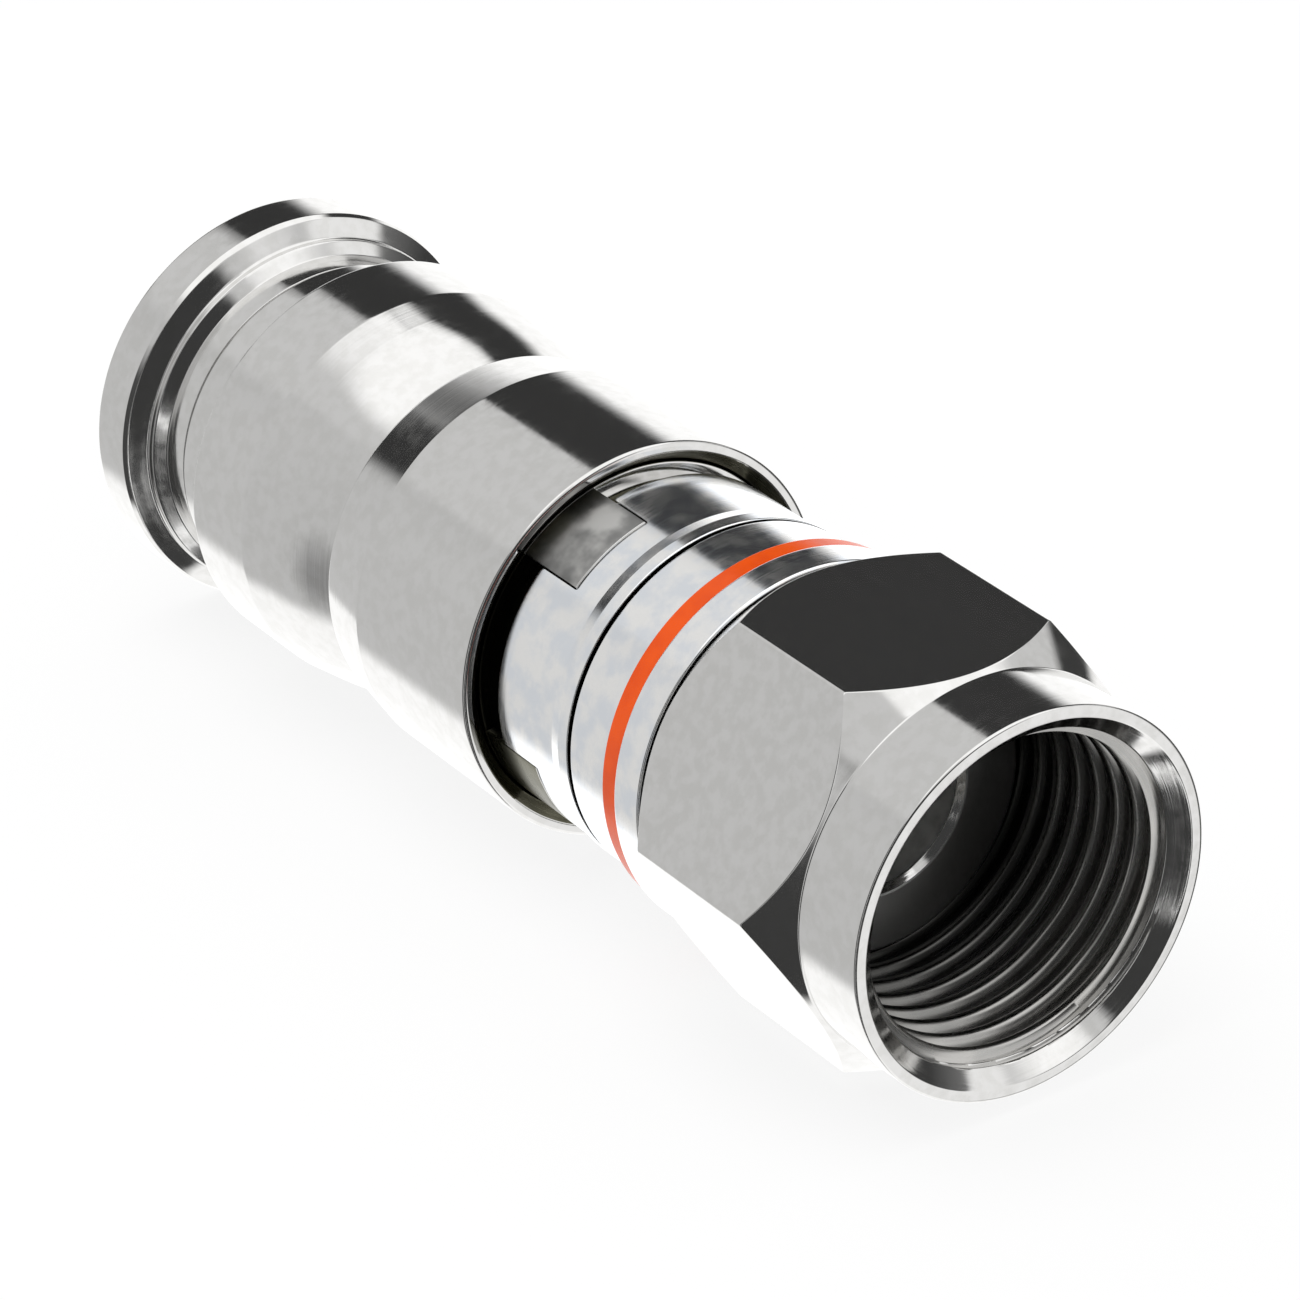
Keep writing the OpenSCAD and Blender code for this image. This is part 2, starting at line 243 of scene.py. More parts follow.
class NodePad:
    """A small helper that adds shader nodes and links them by socket name."""

    def __init__(self, tree: bpy.types.NodeTree) -> None:
        """Keeps the node tree and empties it."""
        self.tree = tree
        self.tree.nodes.clear()

    def add(self, kind: str, settings: dict | None = None, **inputs: object) -> bpy.types.Node:
        """Adds a node.

        Args:
            kind: Blender's type name of the node, without ShaderNode in front.
            settings: Properties to set on the node itself.
            inputs: Values or output sockets for its inputs, with underscores for spaces, or i0, i1 by index.

        Returns:
            The node.
        """
        node = self.tree.nodes.new("ShaderNode" + kind)
        for key, value in (settings or {}).items():
            setattr(node, key, value)
        for key, value in inputs.items():
            indexed = key[0] == "i" and key[1:].isdigit()
            socket = node.inputs[int(key[1:])] if indexed else node.inputs[key.replace("_", " ")]
            if isinstance(value, Socket):
                self.tree.links.new(value, socket)
            else:
                socket.default_value = value
        return node

    def math(self, operation: str, first: object, second: object = 0.0) -> Socket:
        """Adds a Math node and returns its output."""
        return self.add("Math", {"operation": operation}, i0=first, i1=second).outputs[0]

    def remap(self, value: object, low: float, high: float, to_low: float, to_high: float,
              kind: str = "SMOOTHSTEP") -> Socket:
        """Adds a clamped Map Range node and returns its output."""
        node = self.add("MapRange", {"interpolation_type": kind, "clamp": True}, Value=value,
                        From_Min=low, From_Max=high, To_Min=to_low, To_Max=to_high)
        return node.outputs["Result"]

    def blend(self, factor: object, first: object, second: object) -> Socket:
        """Adds a Mix node for single values and returns its output."""
        return self.add("Mix", i0=factor, i2=first, i3=second).outputs[0]

    def ramp(self, value: object, stops: Curve) -> Socket:
        """Adds a grey ramp and returns its output.

        Args:
            value: The value to look up, from 0 to 1.
            stops: Place and brightness of each stop, in rising order.

        Returns:
            The brightness between the stops around the value.
        """
        node = self.add("ValToRGB", Fac=value)
        for place, level in stops[1:-1]:
            node.color_ramp.elements.new(place).color = (level, level, level, 1.0)
        for end, (place, level) in ((0, stops[0]), (-1, stops[-1])):
            node.color_ramp.elements[end].position = place
            node.color_ramp.elements[end].color = (level, level, level, 1.0)
        return node.outputs["Color"]

    def mix(self, factor: object, first: object, second: object) -> Socket:
        """Adds a colour Mix node and returns its output."""
        node = self.add("Mix", {"data_type": "RGBA"}, i0=factor, i6=first, i7=second)
        return node.outputs[2]


def new_material(name: str) -> tuple[bpy.types.Material, NodePad]:
    """Adds a material and returns it with a pad for its empty node tree."""
    made = bpy.data.materials.new(name)
    made.use_nodes = True
    return made, NodePad(made.node_tree)


@dataclass(frozen=True)
class PlatedMetal:
    """Plating on a machined metal surface, with fine tool lines and faint clouds in its tone.

    Attributes:
        name: Name of the material.
        colour: Main colour of the plating.
        cloud: Colour that the plating drifts to in soft clouds.
        cloud_size: Size of a cloud in millimetres.
        gloss: Lowest and highest roughness.
        lay: Direction of the tool lines.
        line_gap: Distance between tool lines in millimetres.
        line_depth: Depth of the tool lines in millimetres.
    """

    name: str
    colour: Colour
    cloud: Colour
    cloud_size: float = 1.0
    gloss: tuple[float, float] = (0.25, 0.38)
    lay: Lay = Lay.TURNED
    line_gap: float = 0.10
    line_depth: float = 0.0004

    def material(self) -> bpy.types.Material:
        """Builds the material.

        The tool lines are noise. Around the axis it is read at the sum of station and radius, so that it
        forms rings on cylinders and end faces alike. Along the axis the station is shrunk, so that it forms
        long streaks.

        Returns:
            The new material.
        """
        made, pad = new_material(self.name)
        low, high, cloud_share, line_share = 0.35, 0.65, 0.6, 0.4
        place = pad.add("TexCoord").outputs["Object"]
        clouds = pad.add("TexNoise", Vector=place, Scale=1.0 / (self.cloud_size * MM), Detail=3.0)
        tone = pad.remap(clouds.outputs["Fac"], low, high, 0.0, 1.0)
        colour = self._colour(pad, place, pad.mix(tone, self.colour, self.cloud))
        lines = self._lines(pad, place)
        smear = pad.math("ADD", pad.math("MULTIPLY", clouds.outputs["Fac"], cloud_share),
                         pad.math("MULTIPLY", lines, line_share))
        roughness = pad.remap(smear, low, high, *self.gloss)
        bump = pad.add("Bump", Height=lines, Strength=1.0, Distance=self.line_depth * MM)
        shader = pad.add("BsdfPrincipled", Base_Color=colour, Metallic=1.0, Roughness=roughness,
                         Normal=bump.outputs["Normal"])
        pad.add("OutputMaterial", Surface=shader.outputs["BSDF"])
        return made

    def _colour(self, pad: NodePad, place: Socket, clouded: Socket) -> Socket:
        """Returns the colour at a place, which is the clouded colour everywhere."""
        return clouded

    def _lines(self, pad: NodePad, place: Socket) -> Socket:
        """Adds the noise of the tool lines.

        Args:
            pad: The material's nodes.
            place: The place on the piece.

        Returns:
            The height of the lines.
        """
        scale, streak = 1.0 / (self.line_gap * MM), 40.0
        if self.lay is Lay.TURNED:
            apart = pad.add("SeparateXYZ", Vector=place).outputs
            radius = pad.math("SQRT", pad.math("ADD", pad.math("MULTIPLY", apart["Y"], apart["Y"]),
                                               pad.math("MULTIPLY", apart["Z"], apart["Z"])))
            where = pad.math("MULTIPLY", pad.math("ADD", apart["X"], radius), scale)
            lines = pad.add("TexNoise", {"noise_dimensions": "1D"}, W=where, Scale=1.0, Detail=3.0)
        else:
            shrunk = pad.add("Mapping", Vector=place, Scale=(scale / streak, scale, scale))
            lines = pad.add("TexNoise", Vector=shrunk.outputs["Vector"], Scale=1.0, Detail=3.0)
        return lines.outputs["Fac"]


@dataclass(frozen=True)
class DepthShadedPlating(PlatedMetal):
    """Plating in a hole, with painted shade that darkens it from the mouth towards the bottom.

    Attributes:
        bottom_shade: Colour of the painted shade at the bottom of the hole.
        stations: Stations of the bottom and of the mouth in millimetres.
    """

    bottom_shade: Colour = (0.05, 0.05, 0.047, 1.0)
    stations: tuple[float, float] = (0.0, 5.6)

    def _colour(self, pad: NodePad, place: Socket, clouded: Socket) -> Socket:
        """Returns the clouded colour at the mouth, darkened towards the bottom with painted shade."""
        share = pad.remap(pad.add("SeparateXYZ", Vector=place).outputs["X"],
                          self.stations[0] * MM, self.stations[1] * MM, 0.0, 1.0, "LINEAR")
        return pad.mix(share, self.bottom_shade, clouded)


@dataclass(frozen=True)
class Moulded:
    """A moulded plastic or rubber with a fine grain and a faint drift of tone.

    Attributes:
        name: Name of the material.
        colour: Main colour.
        shade: Colour that it drifts to.
        gloss: Lowest and highest roughness.
        grain: Size of the grain in millimetres.
        grain_depth: Depth of the grain in millimetres.
        sheen: Strength of the surface's plain reflection, 0.5 for an uncoated plastic.
    """

    name: str
    colour: Colour
    shade: Colour
    gloss: tuple[float, float]
    grain: float
    grain_depth: float
    sheen: float = 0.5

    def material(self) -> bpy.types.Material:
        """Builds the material from a soft drift of tone and a finer grain that also sets the gloss.

        Returns:
            The new material.
        """
        made, pad = new_material(self.name)
        low, high, drift_size = 0.3, 0.7, 8.0 * self.grain * MM
        place = pad.add("TexCoord").outputs["Object"]
        drift = pad.add("TexNoise", Vector=place, Scale=1.0 / drift_size, Detail=2.0)
        grain = pad.add("TexNoise", Vector=place, Scale=1.0 / (self.grain * MM), Detail=4.0)
        tone = pad.remap(drift.outputs["Fac"], low, high, 0.0, 1.0)
        roughness = pad.remap(grain.outputs["Fac"], low, high, *self.gloss)
        bump = pad.add("Bump", Height=grain.outputs["Fac"], Strength=1.0, Distance=self.grain_depth * MM)
        shader = pad.add("BsdfPrincipled", Base_Color=pad.mix(tone, self.colour, self.shade),
                         Roughness=roughness, Specular_IOR_Level=self.sheen, Normal=bump.outputs["Normal"])
        pad.add("OutputMaterial", Surface=shader.outputs["BSDF"])
        return made


Finish = PlatedMetal | Moulded

TURNED_NICKEL = PlatedMetal("turned_nickel", (0.71, 0.705, 0.695, 1.0), (0.67, 0.665, 0.65, 1.0),
                            cloud_size=0.4, gloss=(0.06, 0.12), line_gap=0.09, line_depth=0.0005)
DRAWN_NICKEL = PlatedMetal("drawn_nickel", (0.71, 0.705, 0.695, 1.0), (0.66, 0.655, 0.64, 1.0), lay=Lay.DRAWN,
                           cloud_size=0.35, gloss=(0.08, 0.13), line_gap=0.07, line_depth=0.0006)
# Cut thread of the nut, darkened towards the bottom of the hole with painted shade.
CUT_NICKEL_DEPTH_SHADED = DepthShadedPlating("cut_nickel_depth_shaded", (0.54, 0.53, 0.51, 1.0), (0.47, 0.465, 0.45, 1.0),
                         cloud_size=1.5, gloss=(0.22, 0.30), line_depth=0.0002)
SATIN_NICKEL = PlatedMetal("satin_nickel", (0.50, 0.495, 0.48, 1.0), (0.22, 0.22, 0.215, 1.0), lay=Lay.DRAWN,
                           cloud_size=1.1, gloss=(0.28, 0.40), line_gap=0.08, line_depth=0.0006)
# Near-black finish that paints shade into one gap between the lugs.
GAP_PAINTED_SHADE = PlatedMetal("gap_painted_shade", (0.040, 0.038, 0.028, 1.0), (0.030, 0.029, 0.022, 1.0))
# Near-black finish that paints shade into the front body's turned groove.
GROOVE_PAINTED_SHADE = PlatedMetal("groove_painted_shade", (0.020, 0.020, 0.018, 1.0), (0.028, 0.028, 0.025, 1.0),
                         gloss=(0.30, 0.45))
# Olive brass tone, darkened with painted shade, for the sleeve's front bore and one lug.
OLIVE_BRASS_AND_SHADE = PlatedMetal("olive_brass_painted_shade", (0.150, 0.145, 0.105, 1.0), (0.115, 0.112, 0.080, 1.0))
MATTE_TIN = PlatedMetal("matte_tin", (0.86, 0.86, 0.85, 1.0), (0.74, 0.74, 0.73, 1.0),
                        cloud_size=0.5, gloss=(0.50, 0.65), line_depth=0.0010)
TURNED_TIN = PlatedMetal("turned_tin", (0.74, 0.74, 0.73, 1.0), (0.68, 0.68, 0.67, 1.0),
                         cloud_size=2.0, gloss=(0.42, 0.52), line_gap=0.08, line_depth=0.0006)
BLUE_ZINC = PlatedMetal("blue_zinc", (0.82, 0.85, 0.89, 1.0), (0.95, 0.945, 0.93, 1.0),
                        cloud_size=0.7, gloss=(0.10, 0.19), line_gap=0.06, line_depth=0.0008)
ORANGE_PLASTIC = Moulded("orange_plastic", (0.76, 0.084, 0.003, 1.0), (0.68, 0.068, 0.003, 1.0),
                         gloss=(0.16, 0.26), grain=0.10, grain_depth=0.002, sheen=0.22)
BLACK_RUBBER = Moulded("black_seal_rubber", (0.020, 0.020, 0.021, 1.0), (0.030, 0.030, 0.031, 1.0),
                       gloss=(0.55, 0.70), grain=0.08, grain_depth=0.004)
NATURAL_PLASTIC = Moulded("natural_grip_plastic", (0.78, 0.75, 0.67, 1.0), (0.74, 0.71, 0.63, 1.0),
                          gloss=(0.38, 0.52), grain=0.12, grain_depth=0.003)


@dataclass
class RingPiece:
    """A piece of the connector that is one closed ring about the axis.

    Its first finish is on every face that isn't marked. A stretch is the number of another finish, the row
    of faces where it starts and the row before which it ends.

    Attributes:
        name: Name of the finished piece.
        span: Where the solid lies that it stands for.
    """

    FINISHES: ClassVar[tuple[Finish, ...]] = ()
    STRETCHES: ClassVar[tuple[tuple[int, int, int], ...]] = ()

    name: str
    span: Span

    def ring(self, section: Array, angles: Array, marks: Marks | None = None) -> bpy.types.Object:
        """Makes the closed ring that a section sweeps around the axis, and marks the finishes of its faces.

        A point with radius r and station x in the column at angle t is (x, -r sin t, r cos t). The grid
        closes on itself both ways, and its faces are turned outwards if its signed volume is negative.

        Args:
            section: Radius and station of each point, of shape (rows, columns, 2), or one column for all.
            angles: Angle of each column.
            marks: Number of each face's finish before the stretches, of shape (rows, columns).

        Returns:
            The object, with its place in its mesh.
        """
        shape = (len(section), len(angles))
        radius = np.broadcast_to(section[..., 0], shape)
        station = np.broadcast_to(section[..., 1], shape)
        points = np.stack([station, -radius * np.sin(angles), radius * np.cos(angles)], axis=-1)
        points = points.reshape(-1, 3)
        grid = np.arange(radius.size).reshape(shape)
        beyond = np.roll(grid, -1, axis=0)
        faces = np.stack([grid, beyond, np.roll(beyond, -1, axis=1), np.roll(grid, -1, axis=1)], axis=-1)
        faces = faces.reshape(-1, 4)
        first, second, third, fourth = (points[faces[:, k]] for k in range(4))
        volume = np.sum(first * np.cross(second, third)) + np.sum(first * np.cross(third, fourth))
        if volume < 0.0:
            faces = faces[:, ::-1]
        marks = np.zeros(shape, dtype=np.int32) if marks is None else marks
        for number, start, end in self.STRETCHES:
            marks[start:end] = number
        mesh = bpy.data.meshes.new(self.name)
        mesh.from_pydata((points * MM).tolist(), [], faces.tolist())
        mesh.polygons.foreach_set("use_smooth", np.ones(len(faces), dtype=bool))
        mesh.polygons.foreach_set("material_index", marks.reshape(-1))
        mesh.set_sharp_from_angle(angle=SHARP_ANGLE)
        mesh.update()
        return add_object(self.name, mesh)

    def dress(self, piece: bpy.types.Object) -> None:
        """Adds the materials of the finishes to a piece in their order."""
        for finish in self.FINISHES:
            piece.data.materials.append(finish.material())


@dataclass
class TurnedPiece(RingPiece):
    """A ring with the same section all round.

    Attributes:
        columns: Number of columns around the axis.
    """

    columns: int = 128

    def section(self) -> Array:
        """Returns the points of the section, of shape (rows, 1, 2)."""
        raise NotImplementedError

    def build(self) -> bpy.types.Object:
        """Turns the section around the axis and returns the piece."""
        return self.ring(self.section(), even_angles(self.columns))


@dataclass
class CouplingNut(RingPiece):
    """Hexagonal nut with a round collar in front and a right-handed inside thread.

    The hexagon is a section whose radius changes from column to column, so the cones that trim its corners
    meet the flats along true curves. Its flats are drawn and its thread is cut, and they look so.
    """

    FINISHES = (TURNED_NICKEL, DRAWN_NICKEL, CUT_NICKEL_DEPTH_SHADED)
    STRETCHES = ((1, face_row(3, 4), face_row(4, 3)),)  # the flats

    collar_step: float = 0.09
    collar_length: float = 2.35
    cone_angle: float = 38.0
    rear_step: float = 0.08
    corner_round: float = 0.13
    mouth_wall: float = 0.33
    lead_angle: float = 45.0
    lead_depth: float = 0.47
    relief: float = 0.22
    thread_minor: float = 4.35
    thread_major: float = 4.7625
    pitch: float = 0.794
    crest_width: float = 1.4
    thread_tail: float = 0.50
    tail_margin: float = 0.012
    mouth_margin: float = 0.06
    runout: float = 4.8025
    lip_front: float = -1.50
    lip_rear: float = -2.30
    lip_radius: float = 3.45
    recess_radius: float = 4.755
    flat_columns: int = 33
    corner_steps: int = 6
    rows_per_turn: int = 32

    def hexagon_columns(self) -> tuple[Array, Array]:
        """Works out the columns around a hexagon with rounded corners.

        One sixth holds the points of a flat at height f and sideways place t, then the arc of the corner,
        whose centre is (f - q) / cos 30 from the axis. It is repeated at every sixth of a turn.

        Returns:
            The angle and the hexagon's radius of each column.
        """
        sides, edge_share, flat_share = 6, 0.985, 0.93
        flat, turn = self.span.reach, FULL_TURN / sides
        half = turn / 2.0
        side = (flat - self.corner_round) * math.tan(half)
        spread = np.linspace(-flat_share, flat_share, self.flat_columns)
        sideways = np.concatenate([[-edge_share], spread, [edge_share]]) * side
        swing = half + np.linspace(-half, half, self.corner_steps + 1)
        centre = (flat - self.corner_round) / math.cos(half)
        up = np.concatenate([np.full_like(sideways, flat),
                             centre * math.cos(half) + self.corner_round * np.cos(swing)])
        across = np.concatenate([sideways, centre * math.sin(half) + self.corner_round * np.sin(swing)])
        angle = np.arctan2(across, up)[None, :] + np.arange(sides)[:, None] * turn
        radius = np.broadcast_to(np.hypot(across, up), angle.shape)
        return angle.reshape(-1), radius.reshape(-1)

    def corners(self, hexagon: Array) -> Array:
        """Lays out the section's corners from the mouth around the outside to the thread's run-out.

        Args:
            hexagon: Radius of the hexagon at each column.

        Returns:
            Radius, station and rounding, of shape (corners, columns, 3).
        """
        front, rear, flat = self.span
        collar = flat - self.collar_step
        mouth = collar - self.mouth_wall
        slope = math.tan(math.radians(self.cone_angle))
        lead = math.tan(math.radians(self.lead_angle))
        cone_start = front - self.collar_length
        return turned_corners(
            (self.thread_minor, front - (mouth - self.thread_minor) / lead, 0.0),
            (mouth, front, 0.04),
            (collar, front, 0.07),
            (collar, cone_start, 0.10),
            (hexagon, cone_start - (hexagon - collar) / slope, 0.07),
            (hexagon, rear + (hexagon - flat + self.rear_step) / slope, 0.07),
            (flat - self.rear_step, rear, 0.06),
            (self.recess_radius, rear, 0.05),
            (self.recess_radius, self.lip_rear, 0.05),
            (self.lip_radius, self.lip_rear, 0.05),
            (self.lip_radius, self.lip_front, 0.05),
            (self.runout, self.lip_front, 0.05),
            (self.runout, -self.thread_tail, 0.03),
            (self.thread_minor, -self.thread_tail, 0.0),
            columns=len(hexagon))

    def thread(self, angle: Array) -> tuple[Array, Flags]:
        """Works out the threaded wall from its run-out to the mouth.

        With s the distance along the axis from the nearest crest, as a share of half a pitch, the radius
        rises from the minor to the major radius as half of 1 - cos(pi s^w). A width w above 1 makes the
        crests broad and the roots narrow. The crests move forward by one pitch in each turn. Where the
        lead-in cone, or the short bore at its inner end, is wider than the thread, it is taken.

        Args:
            angle: Angle of each column.

        Returns:
            Radius and station, of shape (rows, columns, 2), and which of these points lie on the thread.
        """
        front = self.span.front
        mouth = self.span.reach - self.collar_step - self.mouth_wall
        first, last = self.tail_margin - self.thread_tail, front - self.mouth_margin
        rows = int(round((last - first) / self.pitch * self.rows_per_turn))
        station = np.linspace(first, last, rows)[:, None] + np.zeros_like(angle)
        turns = station / self.pitch - angle / FULL_TURN
        share = 2.0 * np.abs(turns - np.round(turns))
        depth = self.thread_major - self.thread_minor
        wall = self.thread_minor + depth * (0.5 - 0.5 * np.cos(math.pi * share ** self.crest_width))
        slope = math.tan(math.radians(self.lead_angle))
        cone = mouth - np.minimum(front - station, self.lead_depth) * slope
        lead = np.where(front - station < self.lead_depth + self.relief, cone, self.thread_minor)
        return np.stack([np.maximum(wall, lead), station], axis=-1), wall >= lead

    def build(self) -> bpy.types.Object:
        """Joins the rounded section and the thread into one ring.

        The section's first and last corners only guide their neighbours. The thread takes their place.

        Returns:
            The nut.
        """
        angle, hexagon = self.hexagon_columns()
        section = rounded(self.corners(hexagon))[ROWS_PER_CORNER:-ROWS_PER_CORNER]
        thread, cut = self.thread(angle)
        marks = np.zeros((len(section) + len(thread), len(angle)), dtype=np.int32)
        # the thread's finish is darkened towards the bottom of the nut with painted shade
        marks[len(section):][cut] = self.FINISHES.index(CUT_NICKEL_DEPTH_SHADED)
        return self.ring(np.concatenate([section, thread]), angle, marks)


@dataclass
class Post(TurnedPiece):
    """Flanged tube whose face shows at the bottom of the nut and whose barbed tail lies in the sleeve.

    It is plated with tin, matte in its bore and bright on the bore's rim.
    """

    FINISHES = (TURNED_TIN, MATTE_TIN, TURNED_NICKEL)
    STRETCHES = ((1, face_row(9, 3), face_row(10, 1)), (2, face_row(10, 2), face_row(11, 0)))  # bore, rim

    columns: int = 160
    bore: float = 2.40
    rim: float = 0.20
    flange: float = 1.40
    neck: float = 3.38
    neck_end: float = -6.60
    tube: float = 2.80
    barb: float = 3.20
    barb_front: float = -18.0
    barb_rise: float = 0.20
    tip: float = 2.60

    def section(self) -> Array:
        """Works out the section from the bore's rim over the flange to the tail and back."""
        front, rear, reach = self.span
        return rounded(turned_corners(
            (self.bore + self.rim, front, 0.04),
            (reach, front, 0.10),
            (reach, front - self.flange, 0.08),
            (self.neck, front - self.flange, 0.05),
            (self.neck, self.neck_end, 0.05),
            (self.tube, self.neck_end, 0.05),
            (self.tube, self.barb_front, 0.05),
            (self.barb, self.barb_front - self.barb_rise, 0.05),
            (self.tip, rear, 0.04),
            (self.bore, rear, 0.04),
            (self.bore, front - self.rim, 0.05)))


@dataclass
class NutSeal(TurnedPiece):
    """Rubber ring of round section between the nut and the front body."""

    FINISHES = (BLACK_RUBBER,)

    rows: int = 32

    def section(self) -> Array:
        """Works out a circle whose centre is half the cord's thickness inside the ring's reach.

        Returns:
            Radius and station of each point, of shape (rows, 1, 2).
        """
        front, rear, reach = self.span
        half = (front - rear) / 2.0
        around = even_angles(self.rows)
        circle = np.stack([reach - half + half * np.cos(around),
                           (front + rear) / 2.0 + half * np.sin(around)], axis=-1)
        return circle[:, None, :]


@dataclass
class FrontBody(RingPiece):
    """Zinc-plated body on the post, with a larger ring in front and a skirt with notches for the lugs.

    The end of the skirt is a line that runs around the axis: straight along the fingers, around their rounded
    corners and down into the notches. The turned line is painted near black inside, as shade.
    """

    FINISHES = (BLUE_ZINC, GROOVE_PAINTED_SHADE)
    # painted shade: the walls and bottom of the turned line get the near-black finish
    STRETCHES = ((1, face_row(4, 4), face_row(7, 2)),)  # the turned line

    bore: float = 3.39
    ring_length: float = 1.08
    ring_rise: float = 0.35
    land_length: float = 3.60
    mark_width: float = 0.15
    mark_depth: float = 0.20
    rest: float = 0.42
    strip: float = 0.40
    land_step: float = 0.07
    seat: float = 4.64
    web: float = 3.35
    notch_half: float = 15.09
    notch_length: float = 1.60
    finger_round: float = 0.10
    notch_round: float = 0.08
    side_lean: float = 0.10

    def skirt_line(self) -> tuple[Array, Array]:
        """Works out the line at the open end of the skirt.

        Half a notch is laid out from its middle: the straight bottom, a quarter arc up into the side, and a
        quarter arc out onto the finger's end. The side leans by a small angle so that no two columns share
        an angle. The half is mirrored and repeated at each lug.

        Returns:
            The angle of each column and how far the skirt stops short of its full length there.
        """
        skirt = self.span.reach - self.ring_rise - self.land_step
        arc_columns, bottom_columns, end_columns = 6, 10, 18
        quarter = np.linspace(0.0, math.pi / 2.0, arc_columns)
        inner = math.degrees(self.notch_round / skirt)
        outer = math.degrees(self.finger_round / skirt)
        bottom_angle = np.linspace(0.0, self.notch_half - inner, bottom_columns)[:-1]
        rise_angle = self.notch_half - inner * (1.0 - np.sin(quarter))
        rise = self.notch_length - self.notch_round * (1.0 - np.cos(quarter))
        fall_angle = self.notch_half + self.side_lean + outer * (1.0 - np.cos(quarter))
        fall = self.finger_round * (1.0 - np.sin(quarter))
        end_angle = np.linspace(fall_angle[-1], LUG_PERIOD / 2.0, end_columns)[1:]
        angle = np.concatenate([bottom_angle, rise_angle, fall_angle, end_angle])
        short = np.concatenate([np.full_like(bottom_angle, self.notch_length), rise, fall,
                                np.zeros_like(end_angle)])
        return around_lugs(angle, short)

    def build(self) -> bpy.types.Object:
        """Turns the section around the axis with the skirt's end following its line.

        Returns:
            The body.
        """
        angle, short = self.skirt_line()
        front, rear, ring = self.span
        land = ring - self.ring_rise
        ring_end = front - self.ring_length
        land_end = front - self.land_length
        mark_end = land_end - self.mark_width
        rest_end = mark_end - self.rest
        skirt = land - self.land_step
        section = turned_corners(
            (self.bore, front, 0.05),
            (ring, front, 0.07),
            (ring, ring_end, 0.05),
            (land, ring_end, 0.03),
            (land, land_end, 0.04),
            (land - self.mark_depth, land_end, 0.02),
            (land - self.mark_depth, mark_end, 0.02),
            (land, mark_end, 0.04),
            (land, rest_end, 0.05),
            (skirt, rest_end - self.strip, 0.10),
            (skirt, rear + short, 0.05),
            (self.seat, rear + short, 0.04),
            (self.seat, front - self.web, 0.05),
            (self.bore, front - self.web, 0.05),
            columns=len(angle))
        return self.ring(rounded(section), angle)


@dataclass
class ColourBand(TurnedPiece):
    """Orange plastic ring on the land of the front body, against its front ring."""

    FINISHES = (ORANGE_PLASTIC,)

    columns: int = 200
    thickness: float = 0.23
    soften: float = 0.05

    def section(self) -> Array:
        """Works out a small rectangle with soft corners."""
        (front, rear, outer), soften = self.span, self.soften
        inner = outer - self.thickness
        return rounded(turned_corners((inner, front, soften), (outer, front, soften),
                                      (outer, rear, soften), (inner, rear, soften)))


